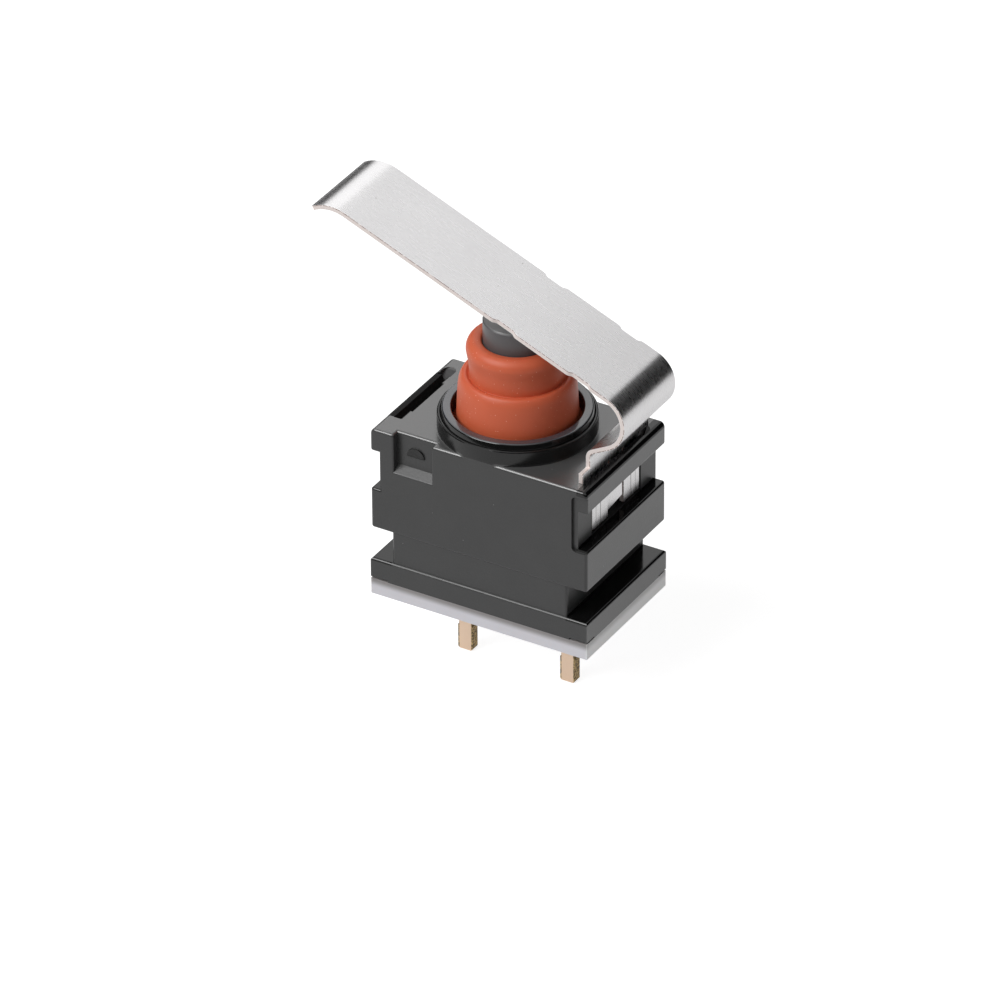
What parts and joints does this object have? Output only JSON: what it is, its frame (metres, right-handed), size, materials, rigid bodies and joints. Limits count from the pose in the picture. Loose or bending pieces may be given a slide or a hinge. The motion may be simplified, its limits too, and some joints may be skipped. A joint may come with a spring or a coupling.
{
  "type": "sealed micro switch",
  "caption": "Sealed circuit-board micro switch: black case on a pale base plate, rubber-capped plunger and a bent leaf lever hooked into the case.",
  "frame": {"origin": "centre of the base plate's underside, the face that lies on the circuit board, under the plunger's axis", "axes": "+Z along the plunger, away from the board; +X along the case towards the lever's hooked foot; the plain front face looks along -Y"},
  "size_m": [0.0118, 0.0052, 0.0168],
  "materials": {
    "case": "fine-textured black glass-filled plastic with polished slot walls",
    "base": "pale grey moulded plastic",
    "terminal_common": "dull plated copper alloy, pale gold",
    "terminal_switched": "dull plated copper alloy, pale gold",
    "seal_common": "cured epoxy, slightly glossy",
    "seal_switched": "cured epoxy, slightly glossy",
    "plunger": "smooth dark grey plastic with a satin top",
    "contact_clip": "stamped gold-plated spring alloy",
    "return_spring": "drawn stainless spring wire",
    "rubber_cap": "matt orange-red silicone rubber with pale specks",
    "retaining_ring": "polished black plastic with a satin top",
    "lever": "bright satin stainless spring steel with bare sheared edges"
  },
  "bodies": {
    "housing": {"case": "case", "base": "base", "terminal_common": "terminal_common", "terminal_switched": "terminal_switched", "seal_common": "seal_common", "seal_switched": "seal_switched", "return_spring": "return_spring", "rubber_cap": "rubber_cap", "retaining_ring": "retaining_ring"},
    "plunger": {"plunger": "plunger", "contact_clip": "contact_clip"},
    "lever": {"lever": "lever"}
  },
  "joints": [
    {"name": "lever_flex", "type": "hinge", "parent": "housing", "child": "lever", "pos_m": [0.00392, 0, 0.00865], "axis": [0, -1, 0], "range_deg": [0, 25], "deforming": ["lever"]},
    {"name": "plunger_slide", "type": "slide", "parent": "housing", "child": "plunger", "axis": [0, 0, -1], "range_m": [0, 0.0014], "stiffness_N_per_m": 100, "deforming": ["rubber_cap", "return_spring"]}
  ],
  "couplings": [
    {"joint": "lever_flex", "follows": "plunger_slide", "rad_per_m": 310}
  ]
}
